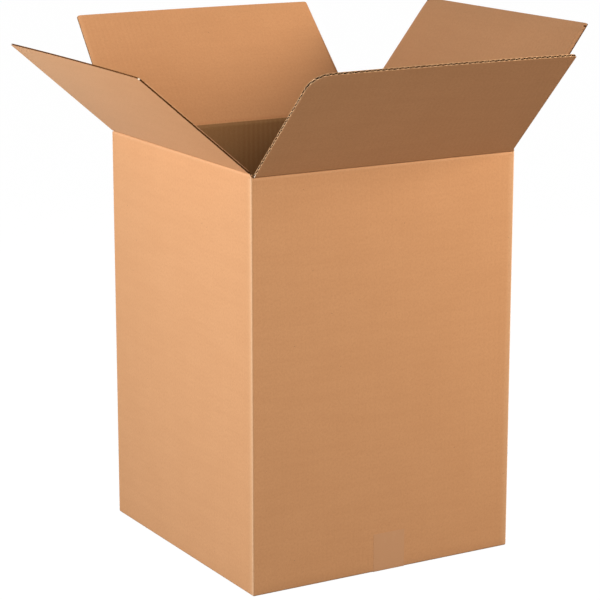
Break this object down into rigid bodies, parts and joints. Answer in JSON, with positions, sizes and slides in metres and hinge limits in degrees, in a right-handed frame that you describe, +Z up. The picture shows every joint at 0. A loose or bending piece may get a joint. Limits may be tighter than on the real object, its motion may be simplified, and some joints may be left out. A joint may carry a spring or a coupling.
{
  "type": "corrugated box",
  "caption": "Tall square carton of single-wall corrugated board, its bottom folded and taped, its four top flaps open.",
  "frame": {"origin": "centre of the base, on the surface that the carton stands on", "axes": "+X to the right along the front wall, -Y out of the front wall, +Z up"},
  "size_m": [0.6962, 0.6954, 0.7407],
  "materials": {
    "kraft_board": "matt brown kraft liner",
    "packing_tape": "clear film, satin"
  },
  "bodies": {
    "carton": {"carton_body": "kraft_board", "bottom_tape": "packing_tape"},
    "front_flap": {"front_flap": "kraft_board"},
    "back_flap": {"back_flap": "kraft_board"},
    "left_flap": {"left_flap": "kraft_board"},
    "right_flap": {"right_flap": "kraft_board"}
  },
  "joints": [
    {"name": "front_flap_fold", "type": "hinge", "parent": "carton", "child": "front_flap", "pos_m": [0, -0.207, 0.571], "axis": [1, 0, 0], "range_deg": [-134.4, 125.6]},
    {"name": "back_flap_fold", "type": "hinge", "parent": "carton", "child": "back_flap", "pos_m": [0, 0.207, 0.571], "axis": [-1, 0, 0], "range_deg": [-131.8, 128.2]},
    {"name": "left_flap_fold", "type": "hinge", "parent": "carton", "child": "left_flap", "pos_m": [-0.207, 0, 0.5753], "axis": [0, -1, 0], "range_deg": [-139.3, 120.7]},
    {"name": "right_flap_fold", "type": "hinge", "parent": "carton", "child": "right_flap", "pos_m": [0.207, 0, 0.5753], "axis": [0, 1, 0], "range_deg": [-127.7, 132.3]}
  ]
}
